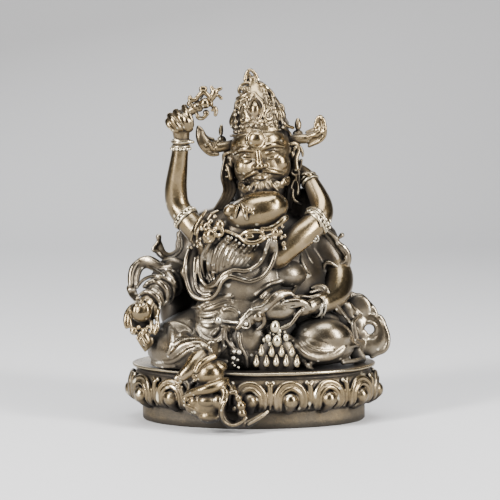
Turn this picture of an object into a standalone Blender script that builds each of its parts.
import math

import bmesh
import bpy
from mathutils import Matrix, Vector

# Pedestal sizes in metres
FOOT_HALF_WIDTH = 0.0185
FOOT_HALF_DEPTH = 0.0110
FOOT_HEIGHT = 0.0030
PETAL_HALF_WIDTH = 0.0207
PETAL_HALF_DEPTH = 0.0131
PETAL_HEIGHT = 0.0051
GROOVE_HEIGHT = 0.0008
RIM_HALF_WIDTH = 0.0201
RIM_HALF_DEPTH = 0.0126
RIM_HEIGHT = 0.0005
PETAL_COUNT = 16
PEDESTAL_SIDES = 54
PETAL_RELIEF = 0.0005
PETAL_SHIFT = -0.0007

# Height of the figure from the seat to the crown tip, in metres
FIGURE_HEIGHT = 0.0482

# The pose is laid out on a sketch: its seat line is at 9.4 and its crown tip at 57.6
SKETCH_SEAT = 9.4
SKETCH_TIP = 57.6
UNIT = FIGURE_HEIGHT / (SKETCH_TIP - SKETCH_SEAT)
SEAT_Z = FOOT_HEIGHT + PETAL_HEIGHT + GROOVE_HEIGHT + RIM_HEIGHT

# Points of one tube nearer than this are one point
WELD = 0.000002

# Fineness of the melted skin, how far it is smoothed and the number of triangles it keeps
SKIN_VOXEL = 0.27 * UNIT
SKIN_SMOOTHING = 0.4
SKIN_SMOOTHING_ROUNDS = 2
SKIN_TRIANGLES = 6000

# A ring is a tube through this many stations
RING_STATIONS = 12

# Profile of the pedestal: level as a share of the petal height, and share of the half width
PETAL_PROFILE = ((0.0, 0.945), (0.25, 1.0), (0.6, 1.0), (0.96, 0.97))
GROOVE_INSET = 0.0009
GROOVE_WALL_SHARE = 0.7

# Outline of one lotus petal: across and up, as shares of its half pitch and of the petal height
PETAL_ARCH = (
    (-0.50, 0.06),
    (-0.78, 0.40),
    (-0.58, 0.80),
    (0.0, 0.95),
    (0.58, 0.80),
    (0.78, 0.40),
    (0.50, 0.06),
)
PETAL_ARCH_RADIUS = 0.00046
PETAL_BEAD_LEVEL = 0.36
PETAL_BEAD_RADII = (0.00118, 0.00095, 0.00135)

# Trunk of the deity: centre and half sizes of each mass, in sketch units
DEITY_MASSES = (
    ((0.0, 2.2, 14.2), (14.6, 9.2, 6.6)),
    ((1.5, 1.0, 23.0), (10.5, 8.0, 8.5)),
    ((1.4, 2.8, 29.6), (10.0, 6.2, 5.8)),
    ((-7.8, 3.2, 18.8), (7.2, 4.8, 6.0)),
    ((8.2, 0.8, 35.6), (2.4, 1.5, 2.8)),
)
SHOULDERS = ((-8.3, 3.0, 31.2, 3.1), (1.0, 3.5, 32.4, 3.8), (10.6, 3.0, 29.9, 3.1))
NECK = ((1.4, 2.8, 34.0, 3.9), (1.3, 0.8, 41.0, 3.5))

# Limbs of the deity: x, y, z and half thickness along each
RIGHT_ARM = (
    (-8.4, 3.0, 31.0, 3.0),
    (-10.2, 2.6, 27.4, 2.6),
    (-12.6, 0.6, 24.2, 2.6),
    (-14.8, -3.4, 22.6, 2.5),
    (-16.5, -6.8, 20.4, 2.1),
)
LEFT_ARM = (
    (10.8, 3.0, 29.4, 3.2),
    (13.2, 1.8, 25.2, 2.5),
    (13.9, 0.0, 22.2, 2.1),
    (12.4, -3.8, 20.3, 1.9),
    (9.8, -7.2, 19.5, 1.5),
    (6.6, -9.6, 20.0, 1.0),
)
RIGHT_LEG = (
    (-6.0, -1.0, 15.0, 5.0),
    (-12.0, -4.5, 13.8, 4.0),
    (-14.0, -6.6, 12.6, 3.3),
    (-11.0, -10.0, 12.4, 2.7),
    (-8.0, -12.2, 12.2, 2.3),
)
RIGHT_FOOT = (
    (-6.6, -12.2, 12.7, 2.2),
    (-8.8, -13.6, 10.8, 2.3),
    (-10.8, -14.6, 9.5, 1.8),
    (-12.0, -15.0, 8.8, 1.1),
)
LEFT_LEG = (
    (6.0, 0.0, 15.0, 5.0),
    (12.6, -3.4, 13.4, 3.5),
    (12.6, -5.4, 13.0, 3.2),
    (9.2, -7.2, 12.6, 2.8),
    (5.6, -7.6, 12.0, 2.0),
    (2.0, -7.4, 11.2, 1.6),
)
KNEE_CLOTH = (((-13.4, -6.4, 12.6), (3.1, 3.4, 3.8)), ((12.4, -5.8, 13.6), (3.6, 3.0, 2.9)))

# Sleeve folds of the right arm: centre, ring radius and tube radius
SLEEVE_RINGS = (
    ((-14.2, -2.4, 23.0), 2.7, 0.45),
    ((-15.0, -4.2, 22.2), 2.4, 0.45),
    ((-15.9, -5.8, 21.3), 2.0, 0.42),
)
SLEEVE_AXIS = (-0.33, -0.80, -0.50)

# Right hand with the citron
CITRON = ((-17.8, -9.2, 18.3), (2.1, 2.0, 2.2))
CITRON_STEM = ((-18.2, -9.6, 20.4), (1.0, 0.8, 0.8))
RIGHT_PALM = ((-18.2, -8.2, 17.4), (2.5, 1.6, 2.8))
RIGHT_FINGERS = (
    (
        (-18.8, -7.6, 20.8, 0.9),
        (-20.6, -8.6, 19.6, 0.8),
        (-20.8, -9.6, 17.2, 0.7),
        (-19.8, -10.0, 15.4, 0.55),
    ),
    ((-17.0, -6.8, 20.4, 1.3), (-17.6, -7.2, 17.6, 1.5), (-17.6, -8.6, 15.2, 1.0)),
    ((-15.9, -8.0, 19.8, 0.9), (-15.3, -9.6, 18.0, 0.75), (-15.6, -10.2, 15.6, 0.6)),
)
CITRON_DROP = ((-18.2, -9.8, 15.4, 1.0), (-17.4, -10.2, 13.0, 0.9), (-17.0, -10.0, 11.6, 0.5))

# Head frame of the deity: centre, lean to the viewer's left and turn to the viewer's left, in degrees
HEAD_CENTRE = (1.35, -1.2, 43.2)
HEAD_LEAN = 8.5
HEAD_TURN = 6.0
SKULL = (
    ((0.0, 0.3, 1.2), (4.7, 5.3, 4.6)),
    ((0.0, -0.9, -1.6), (4.0, 4.2, 3.9)),
    ((0.0, 1.6, 4.6), (4.9, 4.6, 3.4)),
)
FACE_MASSES = (
    ((-2.3, -3.5, -1.5), (1.7, 1.5, 1.7)),
    ((2.3, -3.5, -1.5), (1.7, 1.5, 1.7)),
    ((0.0, -4.3, -3.6), (2.0, 1.4, 1.7)),
    ((0.0, -5.0, 3.6), (1.25, 0.8, 1.2)),
)
NOSE = ((0.0, -4.8, 1.4, 0.55), (0.0, -5.6, -0.2, 0.75), (0.0, -5.7, -0.9, 0.9))
BROWS = (
    (-3.6, -3.7, 1.7, 0.6),
    (-1.8, -4.9, 2.0, 0.65),
    (0.0, -5.0, 1.6, 0.5),
    (1.8, -4.9, 2.0, 0.65),
    (3.6, -3.7, 1.7, 0.6),
)
MOUSTACHE = (
    (-2.6, -4.2, -2.9, 0.35),
    (-1.0, -5.3, -2.0, 0.5),
    (0.0, -5.5, -1.9, 0.45),
    (1.0, -5.3, -2.0, 0.5),
    (2.6, -4.2, -2.9, 0.35),
)
EARS = (((-5.2, 0.8, -0.4), (0.8, 1.2, 1.9)), ((5.3, 0.8, 0.0), (0.9, 1.3, 1.9)))

# Crown in the head frame: height above the head centre and half width of its core
CROWN_CORE = ((4.4, 4.7), (6.2, 4.5), (8.4, 3.9), (10.2, 2.9), (11.8, 1.8), (13.4, 0.8))
CROWN_DEPTH_SHIFT = 0.4
CROWN_BAND = (4.7, 5.0, 0.62)
CROWN_LEAVES = (
    (-90.0, 9.0, 3.3, 1.75),
    (-148.0, 8.0, 2.6, 1.7),
    (-32.0, 8.0, 2.6, 1.7),
    (150.0, 7.6, 2.6, 1.8),
    (30.0, 7.6, 2.6, 1.8),
    (90.0, 8.0, 3.0, 1.9),
)
LEAF_THICKNESS = 0.75
LEAF_REACH = 0.94
LEAF_DROP = 0.8
LEAF_TILT = -18.0
CROWN_TIP = (((-0.1, 0.2, 13.2), (1.15, 0.7, 1.25)), ((-0.15, 0.2, 14.2), (0.5, 0.45, 0.55)))

# Crown ribbons beside the ears, hair and hanging strands: x, y, z and half width
RIBBON_KNOTS = (((7.3, 0.0, 47.0), (1.3, 1.1, 1.3)), ((-5.4, 0.2, 46.2), (1.2, 1.1, 1.3)))
RIBBON_BUDS = (
    ((7.2, 0.0, 47.4, 0.8), (7.3, 0.0, 49.6, 0.45)),
    ((-5.2, 0.2, 46.8, 0.8), (-5.1, 0.2, 49.0, 0.4)),
)
RIBBON_HORNS = (
    (
        (6.6, 0.0, 46.4, 1.2),
        (8.8, -0.3, 46.0, 1.25),
        (10.6, -0.7, 46.9, 1.3),
        (11.2, -1.0, 48.6, 0.85),
        (10.7, -1.0, 50.2, 0.3),
    ),
    (
        (-4.6, 0.2, 45.6, 1.0),
        (-6.4, -0.2, 44.9, 1.0),
        (-8.0, -0.7, 45.5, 1.15),
        (-8.9, -1.0, 46.9, 0.75),
        (-9.0, -1.0, 48.3, 0.3),
    ),
)
HAIR_STRANDS = (
    ((6.0, 0.6, 42.6, 1.1), (6.4, 0.2, 40.0, 1.2), (6.5, -0.4, 37.2, 1.2), (6.2, -0.8, 34.8, 1.0)),
    ((-3.6, 0.6, 41.6, 1.0), (-3.2, 0.0, 38.8, 1.3), (-3.6, 0.2, 36.6, 1.6), (-5.4, 1.4, 34.2, 1.6)),
)
BACK_HAIR = ((1.0, 2.8, 45.6, 3.8), (1.4, 3.6, 41.0, 4.0), (1.5, 5.0, 36.8, 3.5), (1.5, 6.4, 33.4, 2.6))
BRAIDS = (
    ((-2.2, 5.0, 41.0, 1.0), (-4.0, 7.6, 36.0, 1.1), (-4.6, 8.8, 31.6, 1.0), (-4.2, 9.0, 28.0, 0.6)),
    ((4.8, 5.0, 41.0, 1.0), (6.6, 7.6, 36.0, 1.1), (7.2, 8.8, 31.6, 1.0), (6.8, 9.0, 28.0, 0.6)),
)

# Consort, seen from behind
CONSORT_HEAD = ((0.4, -8.2, 35.1), (5.3, 3.7, 3.3))
CONSORT_HEAD_LEAN = 17.0
CONSORT_MASSES = (
    ((-2.2, -5.2, 28.4), (7.2, 4.6, 4.6)),
    ((-1.6, -5.4, 23.4), (6.6, 4.2, 5.2)),
    ((-2.6, -4.6, 17.6), (7.6, 5.6, 4.6)),
)
RAISED_ARM = (
    (-6.8, -5.4, 29.2, 2.5),
    (-10.0, -4.2, 32.4, 2.1),
    (-12.3, -2.6, 35.3, 1.95),
    (-12.7, -2.6, 38.2, 1.85),
    (-12.2, -3.4, 42.4, 1.55),
    (-11.7, -4.0, 46.2, 1.3),
)
RAISED_FIST = (((-11.5, -4.6, 49.6), (2.3, 2.0, 2.3)), ((-12.4, -4.4, 48.6), (1.8, 1.7, 1.8)))
RAISED_RINGS = (
    ((-11.8, -4.0, 45.4), (0.12, 0.1, 1.0), 1.6, 0.4),
    ((-10.9, -3.6, 33.4), (-0.75, 0.3, 0.75), 2.1, 0.42),
)
RESTING_ARM = (
    (3.6, -7.8, 27.6, 2.2),
    (7.2, -6.8, 30.6, 2.15),
    (10.4, -4.9, 33.3, 2.05),
    (11.1, -3.4, 35.4, 1.8),
    (10.0, -1.4, 38.0, 1.55),
    (8.4, 0.2, 40.4, 1.3),
    (6.2, 1.6, 41.4, 1.3),
)
RESTING_RINGS = (
    ((8.8, -0.2, 39.9), (-0.6, 0.5, 0.8), 1.45, 0.36),
    ((9.9, -5.2, 32.9), (0.75, 0.35, 0.65), 2.15, 0.42),
)

# Sceptre in the raised fist: centre of its ball, and its claws as arm directions
SCEPTRE_BALL = ((-7.9, -6.0, 51.9), (1.05, 1.05, 1.05))
SCEPTRE_GRIP = ((-11.6, -5.0, 49.8, 0.75), (-8.2, -5.9, 51.8, 0.7))
SCEPTRE_CLAWS = ((-2.3, 0.0, 1.0), (0.2, 0.0, 2.7), (2.2, -0.2, 2.2), (1.4, 0.2, -1.4))
CLAW_RADIUS = 0.48

# Consort's diadem, rosettes, hair and waist
DIADEM = (
    (-6.6, -8.8, 30.9, 0.7),
    (-2.6, -10.3, 30.4, 0.9),
    (0.4, -10.7, 29.9, 1.1),
    (3.2, -10.2, 30.9, 0.9),
    (5.0, -9.6, 33.4, 0.6),
)
ROSETTES = (
    ((-5.6, -9.4, 31.8), 1.05),
    ((-7.2, -8.6, 30.0), 1.05),
    ((-8.6, -7.4, 28.9), 0.8),
    ((3.5, -10.2, 30.9), 0.85),
)
HAIR_FAN = 7
HAIR_ROOTS = ((-5.6, -8.9, 30.4), (1.6, -9.9, 29.6))
HAIR_MIDDLE = ((-5.8, -9.5, 27.0), (0.4, -9.9, 26.2))
HAIR_ENDS = ((-6.4, -8.6, 23.0), (-2.6, -9.2, 24.2))
HAIR_RADIUS = 0.48

# Thickness of a rosette as a share of its radius
ROSETTE_THICKNESS = 0.8

# Scarves: x, y, z and half width. Three lanes side by side make the width of a scarf.
BACK_SCARF = (
    (3.6, -9.2, 30.0, 0.75),
    (3.5, -9.8, 27.0, 0.75),
    (1.4, -9.9, 24.6, 0.75),
    (-1.8, -9.8, 23.7, 0.75),
    (-4.6, -9.4, 24.6, 0.75),
    (-6.0, -8.8, 22.6, 0.75),
    (-8.2, -7.8, 21.6, 0.75),
    (-10.2, -6.8, 23.2, 0.75),
    (-10.8, -6.2, 26.0, 0.75),
    (-10.0, -5.6, 29.0, 0.75),
)
LEFT_LOW_SCARF = (
    (-11.4, 3.0, 32.4, 0.8),
    (-11.8, 2.2, 29.6, 0.9),
    (-12.8, 1.4, 27.2, 1.0),
    (-14.6, 1.0, 26.4, 1.0),
    (-16.4, 0.9, 27.6, 0.9),
    (-16.4, 0.9, 28.9, 0.6),
    (-15.7, 0.8, 29.9, 0.35),
)
LEFT_OUTER_SCARF = (
    (-12.4, 1.6, 25.4, 1.0),
    (-15.4, 0.6, 26.2, 1.0),
    (-18.2, -0.2, 26.0, 1.1),
    (-19.3, -1.2, 24.0, 1.1),
    (-19.6, -2.4, 21.8, 0.9),
    (-18.9, -4.2, 20.4, 0.8),
)
RIGHT_SHOULDER_SCARF = (
    (10.6, -0.6, 32.2, 0.6),
    (12.6, 0.0, 30.2, 0.7),
    (14.4, 0.2, 28.2, 0.8),
    (14.8, 0.0, 26.4, 0.8),
    (13.4, -0.6, 25.4, 0.7),
    (11.6, -0.8, 25.9, 0.6),
)
SHOULDER_BEAD = ((13.9, 0.0, 30.2), 0.6)
RIGHT_KNEE_SCARF = (
    (11.2, -4.6, 21.6, 0.7),
    (12.8, -4.6, 19.4, 0.9),
    (14.6, -3.6, 17.0, 0.9),
    (15.9, -2.6, 14.6, 0.9),
    (16.2, -2.6, 11.4, 0.9),
    (15.4, -3.0, 9.6, 0.9),
)
RIGHT_OUTER_SCARF = (
    (14.8, 1.2, 20.8, 0.9),
    (17.2, 1.4, 20.0, 1.0),
    (19.0, 1.2, 18.0, 1.1),
    (20.6, 0.8, 16.4, 0.9),
    (21.9, 0.3, 14.0, 0.8),
    (21.2, 0.0, 11.6, 0.9),
    (18.6, -0.2, 10.4, 1.1),
    (16.4, -0.6, 10.2, 1.0),
)
RIGHT_WEBS = (
    ((16.6, 0.0, 17.6, 1.0), (17.0, -0.2, 15.2, 1.0), (17.0, -0.3, 12.6, 1.2), (17.6, -0.2, 10.6, 1.2)),
    ((17.8, 0.6, 18.6, 0.8), (18.9, 0.4, 17.0, 0.9), (20.0, 0.3, 16.2, 0.8)),
    ((17.2, -0.2, 12.2, 0.8), (19.0, -0.1, 12.0, 0.8), (20.8, 0.0, 12.2, 0.8)),
)
SCARF_FLATNESS = 0.5
SCARF_LANES = ((-0.62, 1.0), (0.0, 0.8), (0.62, 1.0))
SCARF_RING = ((19.4, 0.2, 14.3), 1.5, 0.5)
ROUND_LOOP_BACK = (
    (-11.6, 3.6, 31.8, 1.1),
    (-12.4, 7.0, 28.0, 1.2),
    (-9.0, 9.2, 23.6, 1.3),
    (-2.0, 9.9, 21.0, 1.4),
    (5.0, 9.6, 21.6, 1.3),
    (11.0, 8.0, 25.0, 1.2),
    (12.8, 4.6, 30.0, 1.1),
)

# Skirt of the deity and the consort: fold lines with half thickness
SKIRT_FOLDS = (
    ((-8.6, -6.6, 18.6, 0.6), (-5.6, -9.4, 18.2, 0.7), (-2.0, -9.6, 19.0, 0.6)),
    ((-9.4, -6.8, 17.0, 0.6), (-6.2, -9.6, 16.2, 0.8), (-3.0, -9.9, 17.0, 0.6)),
    ((-9.6, -7.0, 15.2, 0.6), (-6.8, -9.6, 13.8, 0.8), (-3.4, -10.0, 14.4, 0.6)),
    ((-14.6, -7.6, 15.2, 0.6), (-10.6, -8.6, 14.2, 0.9), (-7.4, -9.8, 13.4, 0.7)),
    ((-14.0, -8.4, 12.0, 0.6), (-10.6, -10.6, 12.4, 0.8), (-7.2, -11.0, 13.2, 0.7)),
    ((-16.2, -6.0, 10.6, 1.0), (-12.4, -9.2, 10.4, 1.1), (-8.6, -10.4, 10.8, 0.9)),
    ((4.8, -9.8, 14.6, 0.6), (7.4, -10.2, 11.8, 0.7), (11.0, -9.4, 10.6, 0.7), (14.6, -7.0, 11.6, 0.7)),
)
HIP_BULGE = ((5.4, -5.0, 25.4), (2.6, 2.4, 2.0))

# Mongoose across the lap, with its legs and the bead on the rod
MONGOOSE = (
    (5.2, -8.6, 20.9, 1.7),
    (2.6, -9.6, 20.8, 1.7),
    (0.6, -10.4, 19.6, 1.4),
    (-1.0, -10.9, 18.0, 1.3),
    (-2.0, -11.3, 16.6, 1.1),
    (-2.7, -11.6, 15.8, 0.6),
)
MONGOOSE_LEGS = (
    ((1.6, -10.0, 19.4, 0.8), (0.8, -10.6, 17.2, 0.6)),
    ((4.6, -9.2, 20.0, 0.9), (5.0, -10.0, 17.6, 0.6), (3.6, -10.2, 16.6, 0.5)),
)
BEAD_ROD = ((-1.6, -10.8, 17.4, 0.4), (-5.6, -10.8, 17.6, 0.4))
BEAD_ON_ROD = ((-5.7, -10.8, 17.6), 0.75)
STRAND_FOLDS = (
    ((-4.4, -9.8, 16.6, 0.4), (-4.6, -10.4, 14.0, 0.5), (-3.0, -10.6, 12.2, 0.5)),
    ((7.2, -9.4, 18.6, 0.45), (5.4, -9.9, 16.8, 0.45), (3.6, -9.8, 15.8, 0.4)),
)

# Heap of jewels: drops in rows, each row with its count, level and half spread
JEWEL_ROWS = ((5, 10.7, 3.3, -10.9), (4, 12.5, 2.5, -10.6), (3, 14.3, 1.5, -10.3), (1, 16.0, 0.0, -9.9))
JEWEL_MIDDLE = 3.7
JEWEL_RADII = (0.62, 0.62, 1.0)
JEWEL_BED = ((3.7, -8.6, 12.0), (3.6, 1.9, 4.0))
TASSEL = (4, 12.6, 9.9, -2.8, -10.4)
TASSEL_RADIUS = 0.5

# Conch under the foot, carried by the front edge of the pedestal
CONCH_REACH = -16.0
CONCH_MASSES = (
    ((-7.6, 1.6, 5.6), (3.2, 2.4, 3.4)),
    ((-5.2, 1.6, 5.4), (2.8, 2.4, 2.9)),
    ((-7.0, 1.9, 9.0), (2.2, 2.2, 1.9)),
    ((-10.4, 2.0, 5.2), (1.1, 1.0, 1.5)),
)
CONCH_MOUTH = ((-3.2, 0.5, 5.3), 1.75, 2.9, 0.42)
CONCH_MOUTH_AXIS = (0.25, -1, 0)
CONCH_BANDS = (
    ((-10.8, 0.9, 6.6, 0.5), (-8.2, -0.2, 7.4, 0.6), (-4.4, 0.6, 8.6, 0.5)),
    ((-10.0, 1.4, 3.6, 0.45), (-7.4, -0.4, 4.0, 0.6), (-4.8, -0.2, 3.4, 0.5)),
)
CONCH_CANAL = ((-4.2, 0.8, 2.9, 0.9), (-1.0, 0.8, 2.9, 0.8), (2.2, 1.5, 4.0, 0.4))
CONCH_JEWELS = (((-2.8, 0.6, 6.6), 0.65), ((-2.2, 0.6, 5.2), 0.75), ((-3.4, 0.8, 4.0), 0.7))


def clear_scene():
    for item in list(bpy.data.objects):
        bpy.data.objects.remove(item)
    for item in list(bpy.data.collections):
        bpy.data.collections.remove(item)


def sketch_point(x, y, z):
    """A point of the sketch, carried on to the seat of the pedestal."""
    return Vector((x * UNIT, y * UNIT, SEAT_Z + (z - SKETCH_SEAT) * UNIT))


def conch_point(x, y, z):
    """A point of the conch: it keeps its place before the rim and its level below the seat."""
    front = CONCH_REACH * UNIT
    return Vector((x * UNIT, front + y * UNIT, SEAT_Z + (z - SKETCH_SEAT) * UNIT))


def head_frame():
    """Turns head coordinates into sketch coordinates."""
    lean = Matrix.Rotation(math.radians(-HEAD_LEAN), 4, "Y")
    turn = Matrix.Rotation(math.radians(-HEAD_TURN), 4, "Z")
    return Matrix.Translation(HEAD_CENTRE) @ lean @ turn


HEAD = head_frame()


def head_point(x, y, z):
    return sketch_point(*(HEAD @ Vector((x, y, z))))


def add_ball(skin, place, centre, radii, turn=None):
    """A ball with three half sizes in sketch units, centred on a point that place() gives."""
    turn = turn or Matrix.Identity(4)
    size = Matrix.Diagonal((radii[0] * UNIT, radii[1] * UNIT, radii[2] * UNIT, 1.0))
    move = Matrix.Translation(place(*centre)) @ turn @ size
    bmesh.ops.create_icosphere(skin, subdivisions=3, radius=1.0, matrix=move)


def curve_mesh(curve, skin):
    """Adds the tube of one curve to the skin."""
    carrier = bpy.data.objects.new(curve.name, curve)
    bpy.context.scene.collection.objects.link(carrier)
    bpy.context.view_layer.update()
    graph = bpy.context.evaluated_depsgraph_get()
    mesh = bpy.data.meshes.new_from_object(carrier.evaluated_get(graph))
    tube = bmesh.new()
    tube.from_mesh(mesh)
    bmesh.ops.remove_doubles(tube, verts=tube.verts, dist=WELD)
    tube.to_mesh(mesh)
    tube.free()
    skin.from_mesh(mesh)
    bpy.data.meshes.remove(mesh)
    bpy.data.objects.remove(carrier)


def add_limb(skin, place, stations, closed=False):
    """A round tube through the stations x, y, z, half thickness, with a ball on each open end."""
    curve = bpy.data.curves.new("limb", "CURVE")
    curve.dimensions = "3D"
    curve.resolution_u = 5
    curve.bevel_depth = UNIT
    curve.bevel_resolution = 3
    curve.use_fill_caps = True
    spline = curve.splines.new("BEZIER")
    spline.bezier_points.add(len(stations) - 1)
    spline.use_cyclic_u = closed
    for point, (x, y, z, radius) in zip(spline.bezier_points, stations):
        point.co = place(x, y, z)
        point.radius = radius
        point.handle_left_type = "AUTO"
        point.handle_right_type = "AUTO"
    curve_mesh(curve, skin)
    if not closed:
        for x, y, z, radius in (stations[0], stations[-1]):
            add_ball(skin, place, (x, y, z), (radius, radius, radius))


def add_ring(skin, place, centre, axis, half_width, half_height, radius):
    """A closed ring round an axis, oval if its two half sizes differ."""
    normal = Vector(axis).normalized()
    across = Vector((1, 0, 0)).cross(normal).cross(normal)
    if abs(normal.x) > 0.5:
        across = normal.orthogonal()
    across.normalize()
    along = normal.cross(across)
    stations = []
    for step in range(RING_STATIONS):
        angle = math.tau * step / RING_STATIONS
        turned = across * half_width * math.cos(angle) + along * half_height * math.sin(angle)
        stations.append((*(Vector(centre) + turned), radius))
    add_limb(skin, place, stations, closed=True)


def add_strip(skin, place, stations, flatness):
    """A flat ribbon, broad side to the front, through the stations x, y, z, half width."""
    for lane, fullness in SCARF_LANES:
        line = []
        for index, (x, y, z, width) in enumerate(stations):
            before = Vector(stations[max(index - 1, 0)][:3])
            after = Vector(stations[min(index + 1, len(stations) - 1)][:3])
            run = (after - before).normalized()
            side = run.cross(Vector((0, 1, 0))).normalized()
            spot = Vector((x, y, z)) + side * width * lane
            line.append((*spot, width * flatness * fullness))
        add_limb(skin, place, line)


def add_masses(skin, place, masses):
    for centre, radii in masses:
        add_ball(skin, place, centre, radii)


def sculpt_deity(skin):
    add_masses(skin, sketch_point, DEITY_MASSES)
    add_masses(skin, sketch_point, KNEE_CLOTH)
    for limb in (SHOULDERS, NECK, RIGHT_ARM, LEFT_ARM, RIGHT_LEG, RIGHT_FOOT, LEFT_LEG):
        add_limb(skin, sketch_point, limb)
    for hair in (BACK_HAIR, *BRAIDS):
        add_limb(skin, sketch_point, hair)
    for centre, radius, tube in SLEEVE_RINGS:
        add_ring(skin, sketch_point, centre, SLEEVE_AXIS, radius, radius, tube)
    add_masses(skin, sketch_point, (CITRON, CITRON_STEM, RIGHT_PALM))
    for finger in RIGHT_FINGERS:
        add_limb(skin, sketch_point, finger)
    add_limb(skin, sketch_point, CITRON_DROP)
    for fold in SKIRT_FOLDS:
        add_limb(skin, sketch_point, fold)


def sculpt_head(skin):
    add_masses(skin, head_point, SKULL)
    add_masses(skin, head_point, FACE_MASSES)
    add_masses(skin, head_point, EARS)
    for line in (NOSE, BROWS, MOUSTACHE):
        add_limb(skin, head_point, line)
    add_limb(skin, head_point, [(0.0, CROWN_DEPTH_SHIFT, level, half) for level, half in CROWN_CORE])
    level, half, tube = CROWN_BAND
    add_ring(skin, head_point, (0.0, CROWN_DEPTH_SHIFT, level), (0, 0, 1), half, half, tube)
    for angle, height, rise, spread in CROWN_LEAVES:
        out = crown_half_width(height) * LEAF_REACH
        facing = math.radians(angle)
        depth = CROWN_DEPTH_SHIFT + out * math.sin(facing)
        centre = (out * math.cos(facing), depth, height - LEAF_DROP)
        tilt = Matrix.Rotation(math.radians(LEAF_TILT), 4, "Y")
        turn = HEAD.to_3x3().to_4x4() @ Matrix.Rotation(facing, 4, "Z") @ tilt
        add_ball(skin, head_point, centre, (LEAF_THICKNESS, spread, rise), turn)
    add_masses(skin, head_point, CROWN_TIP)
    add_masses(skin, sketch_point, RIBBON_KNOTS)
    for line in RIBBON_BUDS + RIBBON_HORNS + HAIR_STRANDS:
        add_limb(skin, sketch_point, line)


def crown_half_width(level):
    """Half width of the crown core at a level of the head frame."""
    for (low, wide), (high, narrow) in zip(CROWN_CORE, CROWN_CORE[1:]):
        if level <= high:
            return wide + (narrow - wide) * (level - low) / (high - low)
    return CROWN_CORE[-1][1]


def sculpt_consort(skin):
    lean = Matrix.Rotation(math.radians(-CONSORT_HEAD_LEAN), 4, "Y")
    add_ball(skin, sketch_point, CONSORT_HEAD[0], CONSORT_HEAD[1], lean)
    add_masses(skin, sketch_point, CONSORT_MASSES)
    add_masses(skin, sketch_point, RAISED_FIST)
    for limb in (RAISED_ARM, RESTING_ARM, DIADEM):
        add_limb(skin, sketch_point, limb)
    for centre, axis, radius, tube in RAISED_RINGS + RESTING_RINGS:
        add_ring(skin, sketch_point, centre, axis, radius, radius, tube)
    for centre, radius in ROSETTES:
        add_ball(skin, sketch_point, centre, (radius, radius * ROSETTE_THICKNESS, radius))
    for index in range(HAIR_FAN):
        share = index / (HAIR_FAN - 1)
        strand = []
        for first, last in (HAIR_ROOTS, HAIR_MIDDLE, HAIR_ENDS):
            spot = Vector(first).lerp(Vector(last), share)
            strand.append((*spot, HAIR_RADIUS))
        add_limb(skin, sketch_point, strand)
    add_masses(skin, sketch_point, (HIP_BULGE, SCEPTRE_BALL))
    add_limb(skin, sketch_point, SCEPTRE_GRIP)
    for reach in SCEPTRE_CLAWS:
        tip = Vector(SCEPTRE_BALL[0]) + Vector(reach)
        add_limb(skin, sketch_point, ((*SCEPTRE_BALL[0], CLAW_RADIUS), (*tip, CLAW_RADIUS)))


def sculpt_scarves(skin):
    scarves = (
        BACK_SCARF,
        LEFT_LOW_SCARF,
        LEFT_OUTER_SCARF,
        RIGHT_SHOULDER_SCARF,
        RIGHT_KNEE_SCARF,
        RIGHT_OUTER_SCARF,
        *RIGHT_WEBS,
        ROUND_LOOP_BACK,
    )
    for scarf in scarves:
        add_strip(skin, sketch_point, scarf, SCARF_FLATNESS)
    centre, radius, tube = SCARF_RING
    add_ring(skin, sketch_point, centre, (0, 1, 0), radius, radius, tube)
    centre, radius = SHOULDER_BEAD
    add_ball(skin, sketch_point, centre, (radius, radius, radius))


def sculpt_offerings(skin):
    for limb in (MONGOOSE, *MONGOOSE_LEGS, BEAD_ROD, *STRAND_FOLDS):
        add_limb(skin, sketch_point, limb)
    centre, radius = BEAD_ON_ROD
    add_ball(skin, sketch_point, centre, (radius, radius, radius))
    add_ball(skin, sketch_point, *JEWEL_BED)
    for count, level, spread, depth in JEWEL_ROWS:
        for index in range(count):
            share = index / (count - 1) * 2 - 1 if count > 1 else 0.0
            add_ball(skin, sketch_point, (JEWEL_MIDDLE + spread * share, depth, level), JEWEL_RADII)
    count, high, low, across, depth = TASSEL
    for index in range(count):
        level = high + (low - high) * index / (count - 1)
        radii = (TASSEL_RADIUS, TASSEL_RADIUS, TASSEL_RADIUS)
        add_ball(skin, sketch_point, (across, depth, level), radii)


def sculpt_conch(skin):
    add_masses(skin, conch_point, CONCH_MASSES)
    centre, half_width, half_height, tube = CONCH_MOUTH
    add_ring(skin, conch_point, centre, CONCH_MOUTH_AXIS, half_width, half_height, tube)
    for line in CONCH_BANDS + (CONCH_CANAL,):
        add_limb(skin, conch_point, line)
    for centre, radius in CONCH_JEWELS:
        add_ball(skin, conch_point, centre, (radius, radius, radius))


def new_object(name, mesh_source, collection):
    mesh = bpy.data.meshes.new(name)
    mesh_source.to_mesh(mesh)
    mesh_source.free()
    item = bpy.data.objects.new(name, mesh)
    collection.objects.link(item)
    return item


def triangle_count(item):
    graph = bpy.context.evaluated_depsgraph_get()
    mesh = item.evaluated_get(graph).to_mesh()
    mesh.calc_loop_triangles()
    return len(mesh.loop_triangles)


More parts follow.
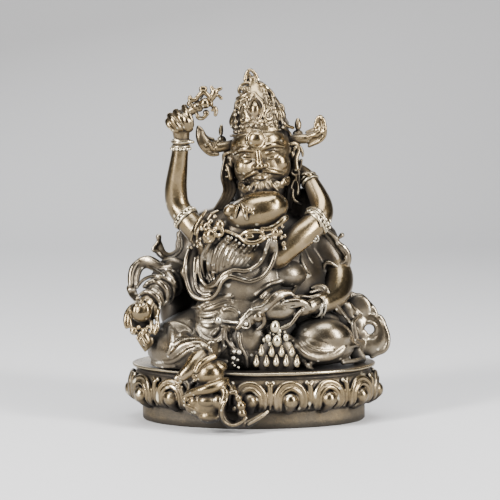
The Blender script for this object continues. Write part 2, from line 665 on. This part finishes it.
def keep_largest_piece(item):
    """Fixes the modified shape of an item and drops every loose crumb beside its largest piece."""
    bpy.context.view_layer.update()
    graph = bpy.context.evaluated_depsgraph_get()
    whole = bmesh.new()
    whole.from_mesh(item.evaluated_get(graph).to_mesh())
    left = set(whole.verts)
    pieces = []
    while left:
        piece = set()
        edge_of_piece = [left.pop()]
        while edge_of_piece:
            corner = edge_of_piece.pop()
            piece.add(corner)
            for edge in corner.link_edges:
                other = edge.other_vert(corner)
                if other in left:
                    left.remove(other)
                    edge_of_piece.append(other)
        pieces.append(piece)
    pieces.sort(key=len)
    crumbs = [corner for piece in pieces[:-1] for corner in piece]
    bmesh.ops.delete(whole, geom=crumbs, context="VERTS")
    item.modifiers.clear()
    whole.to_mesh(item.data)
    whole.free()


def make_figure(collection):
    """All forms above the seat and the conch, melted into one skin and thinned out."""
    skin = bmesh.new()
    sculpt_deity(skin)
    sculpt_head(skin)
    sculpt_consort(skin)
    sculpt_scarves(skin)
    sculpt_offerings(skin)
    sculpt_conch(skin)
    figure = new_object("figure_skin", skin, collection)
    melt = figure.modifiers.new("melt", "REMESH")
    melt.mode = "VOXEL"
    melt.voxel_size = SKIN_VOXEL
    even = figure.modifiers.new("even", "SMOOTH")
    even.factor = SKIN_SMOOTHING
    even.iterations = SKIN_SMOOTHING_ROUNDS
    bpy.context.view_layer.update()
    thin = figure.modifiers.new("thin", "DECIMATE")
    thin.ratio = 1.0
    whole = triangle_count(figure)
    thin.ratio = SKIN_TRIANGLES / whole
    keep_largest_piece(figure)
    return figure


def petal_share(level):
    """Share of the half width that the petal ring has at a level of its height."""
    for (low, first), (high, last) in zip(PETAL_PROFILE, PETAL_PROFILE[1:]):
        if level <= high:
            return first + (last - first) * (level - low) / (high - low)
    return PETAL_PROFILE[-1][1]


def oval_angles(half_width, half_depth, steps=720):
    """Angles with the length along the oval from its front middle, to place petals evenly."""
    lengths = [0.0]
    for step in range(steps):
        first = math.tau * step / steps
        last = math.tau * (step + 1) / steps
        across = half_width * (math.sin(last) - math.sin(first))
        along = half_depth * (math.cos(last) - math.cos(first))
        lengths.append(lengths[-1] + math.hypot(across, along))
    return lengths


def oval_angle(lengths, distance):
    """Angle from the front middle, anticlockwise seen from above, at a distance along the oval."""
    distance = distance % lengths[-1]
    low = 0
    while lengths[low + 1] < distance:
        low += 1
    share = (distance - lengths[low]) / (lengths[low + 1] - lengths[low])
    return math.tau * (low + share) / (len(lengths) - 1)


def ring_point(angle, level, out):
    """A point on the petal ring, at a share of its height and a distance out from its body."""
    share = petal_share(level)
    across = (PETAL_HALF_WIDTH - PETAL_RELIEF) * share + out
    along = (PETAL_HALF_DEPTH - PETAL_RELIEF) * share + out
    height = FOOT_HEIGHT + PETAL_HEIGHT * level
    return Vector((across * math.sin(angle), -along * math.cos(angle), height))


def make_petals(collection):
    """Horseshoe petals in a row round the ring, each with a bead in it."""
    lengths = oval_angles(PETAL_HALF_WIDTH, PETAL_HALF_DEPTH)
    pitch = lengths[-1] / PETAL_COUNT
    work = bmesh.new()
    for index in range(PETAL_COUNT):
        middle = PETAL_SHIFT + pitch * index
        curve = bpy.data.curves.new("petal", "CURVE")
        curve.dimensions = "3D"
        curve.resolution_u = 1
        curve.bevel_depth = PETAL_ARCH_RADIUS
        curve.bevel_resolution = 0
        curve.use_fill_caps = True
        spline = curve.splines.new("BEZIER")
        spline.bezier_points.add(len(PETAL_ARCH) - 1)
        for point, (across, up) in zip(spline.bezier_points, PETAL_ARCH):
            angle = oval_angle(lengths, middle + across * pitch / 2)
            point.co = ring_point(angle, up, 0.0)
            point.handle_left_type = "VECTOR"
            point.handle_right_type = "VECTOR"
        curve_mesh(curve, work)
        angle = oval_angle(lengths, middle)
        turn = Matrix.Rotation(angle, 4, "Z")
        place = Matrix.Translation(ring_point(angle, PETAL_BEAD_LEVEL, 0.0))
        size = Matrix.Diagonal((*PETAL_BEAD_RADII, 1.0))
        move = place @ turn @ size
        bmesh.ops.create_uvsphere(work, u_segments=6, v_segments=4, radius=1.0, matrix=move)
    bmesh.ops.recalc_face_normals(work, faces=work.faces)
    return new_object("petal_work", work, collection)


def make_pedestal(collection):
    """The oval pedestal: foot band, petal ring, groove and rim, stacked level by level."""
    levels = [(FOOT_HALF_WIDTH, FOOT_HALF_DEPTH, 0.0), (FOOT_HALF_WIDTH, FOOT_HALF_DEPTH, FOOT_HEIGHT)]
    for level, share in PETAL_PROFILE:
        across = (PETAL_HALF_WIDTH - PETAL_RELIEF) * share
        along = (PETAL_HALF_DEPTH - PETAL_RELIEF) * share
        levels.append((across, along, FOOT_HEIGHT + PETAL_HEIGHT * level))
    top = FOOT_HEIGHT + PETAL_HEIGHT
    neck_width = RIM_HALF_WIDTH - GROOVE_INSET
    neck_depth = RIM_HALF_DEPTH - GROOVE_INSET
    levels.append((neck_width, neck_depth, top))
    levels.append((neck_width, neck_depth, top + GROOVE_HEIGHT * GROOVE_WALL_SHARE))
    levels.append((RIM_HALF_WIDTH, RIM_HALF_DEPTH, top + GROOVE_HEIGHT))
    levels.append((RIM_HALF_WIDTH, RIM_HALF_DEPTH, SEAT_Z))
    stack = bmesh.new()
    bmesh.ops.create_circle(stack, cap_ends=True, segments=PEDESTAL_SIDES, radius=1.0)
    face = stack.faces[:][0]
    before_width, before_depth = 1.0, 1.0
    for number, (half_width, half_depth, height) in enumerate(levels):
        if number:
            face = bmesh.ops.extrude_discrete_faces(stack, faces=[face])["faces"][0]
        for corner in face.verts:
            corner.co.x *= half_width / before_width
            corner.co.y *= half_depth / before_depth
            corner.co.z = height
        before_width, before_depth = half_width, half_depth
    underside = [edge for edge in stack.edges if edge.is_boundary]
    bmesh.ops.holes_fill(stack, edges=underside)
    bmesh.ops.recalc_face_normals(stack, faces=stack.faces)
    return new_object("wealth_deity_statue", stack, collection)


def brass():
    metal = bpy.data.materials.new("antique_brass")
    metal.use_nodes = True
    shader = metal.node_tree.nodes["Principled BSDF"]
    shader.inputs["Base Color"].default_value = (0.52, 0.40, 0.22, 1.0)
    shader.inputs["Metallic"].default_value = 1.0
    shader.inputs["Roughness"].default_value = 0.35
    return metal


def add_union(item, other, name):
    joint = item.modifiers.new(name, "BOOLEAN")
    joint.operation = "UNION"
    joint.solver = "EXACT"
    joint.object = other


def main():
    clear_scene()
    parts = bpy.data.collections.new("wealth_deity_statue")
    cutters = bpy.data.collections.new("cutters")
    bpy.context.scene.collection.children.link(parts)
    bpy.context.scene.collection.children.link(cutters)
    figure = make_figure(cutters)
    petals = make_petals(cutters)
    for helper in (figure, petals):
        helper.hide_render = True
        helper.display_type = "WIRE"
    statue = make_pedestal(parts)
    add_union(statue, petals, "petals")
    add_union(statue, figure, "figure")
    statue.data.materials.append(brass())


if __name__ == "__main__":
    main()
